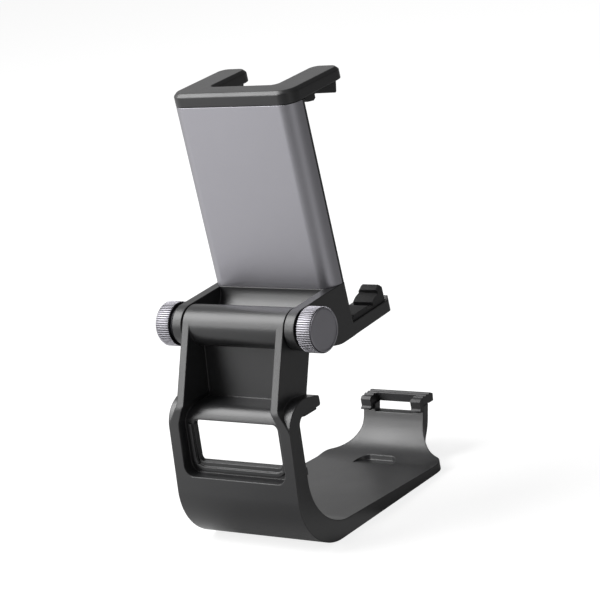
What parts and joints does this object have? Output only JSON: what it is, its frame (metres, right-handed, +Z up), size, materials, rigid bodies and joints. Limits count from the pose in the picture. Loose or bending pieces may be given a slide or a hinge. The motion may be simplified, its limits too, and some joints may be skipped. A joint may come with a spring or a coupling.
{
  "type": "gamepad phone clip",
  "caption": "Clip that hooks round a gamepad and holds a phone above it: moulded cradle, tilting holder with clamping knobs, and a sprung top jaw.",
  "frame": {"origin": "On the cradle's underside, in the middle of its width, 40 mm in front of the foot of the back face.", "axes": "X to the right seen from behind, +Y towards the player, +Z up."},
  "size_m": [0.0532, 0.0786, 0.1201],
  "materials": {
    "cradle_plastic": "fine matt moulding",
    "holder_plastic": "fine matt moulding",
    "shell_aluminium": "grey anodised, satin",
    "knob_aluminium": "grey anodised, knurled rim",
    "grip_rubber": "matt, soft",
    "pad_rubber": "matt, soft",
    "steel": "plated",
    "brass": "plain",
    "friction_fibre": "fibre washer"
  },
  "bodies": {
    "cradle": {"cradle_bracket": "cradle_plastic", "lip_pad": "grip_rubber", "back_pad": "grip_rubber", "front_grip_cap": "grip_rubber", "left_insert": "brass", "right_insert": "brass", "left_friction_washer": "friction_fibre", "right_friction_washer": "friction_fibre"},
    "holder": {"holder_foot": "holder_plastic", "aluminium_shell": "shell_aluminium", "front_cover": "holder_plastic", "phone_pad": "pad_rubber", "cover_screws": "steel", "left_lower_pad": "pad_rubber", "right_lower_pad": "pad_rubber", "left_spring": "steel", "right_spring": "steel"},
    "jaw": {"top_jaw": "holder_plastic", "left_top_pad": "pad_rubber", "right_top_pad": "pad_rubber"},
    "left_thread": {"left_pressure_washer": "steel"},
    "right_thread": {"right_pressure_washer": "steel"},
    "left_knob": {"left_knob": "knob_aluminium", "left_stud": "steel"},
    "right_knob": {"right_knob": "knob_aluminium", "right_stud": "steel"}
  },
  "joints": [
    {"name": "holder_tilt", "type": "hinge", "parent": "cradle", "child": "holder", "pos_m": [0, -0.022, 0.0584], "axis": [1, 0, 0], "range_deg": [-30, 90]},
    {"name": "jaw_slide", "type": "slide", "parent": "holder", "child": "jaw", "axis": [0, -0.0471, 0.9989], "range_m": [0, 0.028], "stiffness_N_per_m": 420, "springref_m": -0.016, "deforming": ["left_spring", "right_spring"]},
    {"name": "left_thread_advance", "type": "slide", "parent": "cradle", "child": "left_thread", "axis": [-1, 0, 0], "range_m": [0, 0.0007]},
    {"name": "left_knob_spin", "type": "hinge", "parent": "left_thread", "child": "left_knob", "pos_m": [0, -0.022, 0.0584], "axis": [-1, 0, 0], "range_deg": [0, 360]},
    {"name": "right_thread_advance", "type": "slide", "parent": "cradle", "child": "right_thread", "axis": [1, 0, 0], "range_m": [0, 0.0007]},
    {"name": "right_knob_spin", "type": "hinge", "parent": "right_thread", "child": "right_knob", "pos_m": [0, -0.022, 0.0584], "axis": [1, 0, 0], "range_deg": [0, 360]}
  ],
  "couplings": [
    {"joint": "left_knob_spin", "follows": "left_thread_advance", "rad_per_m": 8976},
    {"joint": "right_knob_spin", "follows": "right_thread_advance", "rad_per_m": 8976}
  ]
}
